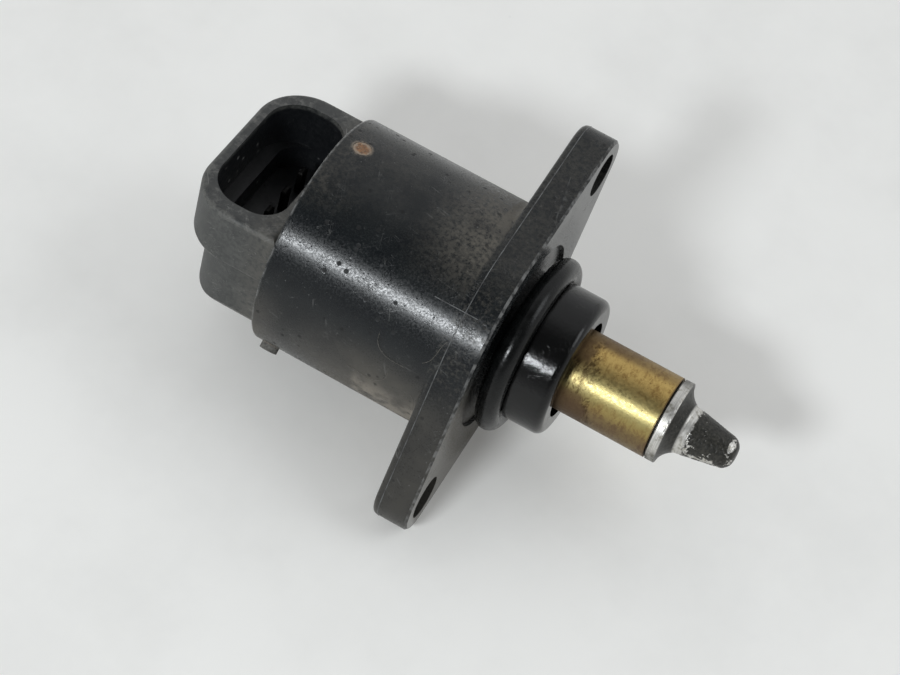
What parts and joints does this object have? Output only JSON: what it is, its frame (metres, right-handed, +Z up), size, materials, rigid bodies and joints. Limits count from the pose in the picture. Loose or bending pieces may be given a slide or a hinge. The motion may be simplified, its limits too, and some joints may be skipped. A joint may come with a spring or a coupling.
{
  "type": "idle air control valve",
  "caption": "Engine idle air control valve: a stepper motor in a round moulded can with a bolt flange, a sealed spigot, a brass plunger with a pintle, and a plug socket.",
  "frame": {"origin": "on the valve's axis, in the flange's mounting face, midway between the bolt holes", "axes": "+X along the valve's axis towards the pintle's tip; +Z up, as the valve lies on its can and on one straight side of its flange; +Y towards the raised lobe of the flange"},
  "size_m": [0.0804, 0.0544, 0.034],
  "materials": {
    "housing_plastic": "satin moulded black, dusty and scratched",
    "cap_plastic": "matte moulded dark grey, dusty",
    "rusty_steel": "rusted",
    "seal_rubber": "dull black",
    "sleeve_brass": "tarnished",
    "pintle_steel": "turned, blackened with soot at the point",
    "screw_steel": "rolled thread, bright",
    "terminal_tin": "tinned, dull",
    "stator_steel": "zinc plated sheet",
    "bobbin_plastic": "natural moulded",
    "coil_wire": "enamelled winding",
    "bearing_steel": "polished",
    "cage_plastic": "moulded",
    "bush_bronze": "sintered",
    "spring_steel": "blued",
    "nut_plastic": "machined",
    "hub_plastic": "moulded",
    "magnet_ferrite": "sintered",
    "guide_plastic": "moulded"
  },
  "bodies": {
    "valve_body": {"housing": "housing_plastic", "connector_cap": "cap_plastic", "terminal_1": "terminal_tin", "terminal_2": "terminal_tin", "terminal_3": "terminal_tin", "terminal_4": "terminal_tin", "cap_pins": "rusty_steel", "o_ring": "seal_rubber", "front_stator_cup": "stator_steel", "front_stator_plate": "stator_steel", "rear_stator_plate": "stator_steel", "rear_stator_cup": "stator_steel", "front_bobbin": "bobbin_plastic", "rear_bobbin": "bobbin_plastic", "front_coil": "coil_wire", "rear_coil": "coil_wire", "bearing_outer_race": "bearing_steel", "rear_bush": "bush_bronze", "preload_washer": "spring_steel", "guide_bush": "guide_plastic"},
    "rotor": {"rotor_hub": "hub_plastic", "lead_nut": "nut_plastic", "rotor_magnet": "magnet_ferrite", "bearing_inner_race": "bearing_steel", "bearing_balls": "bearing_steel", "bearing_cage": "cage_plastic"},
    "plunger": {"plunger_sleeve": "sleeve_brass", "pintle": "pintle_steel", "lead_screw": "screw_steel"}
  },
  "joints": [
    {"name": "rotor_spin", "type": "hinge", "parent": "valve_body", "child": "rotor", "pos_m": [0, 0, 0], "axis": [1, 0, 0], "range_deg": [-2520, 360]},
    {"name": "plunger_slide", "type": "slide", "parent": "valve_body", "child": "plunger", "axis": [1, 0, 0], "range_m": [-0.00705, 0.00105]}
  ],
  "couplings": [
    {"joint": "plunger_slide", "follows": "rotor_spin", "m_per_rad": 0.00015915}
  ]
}
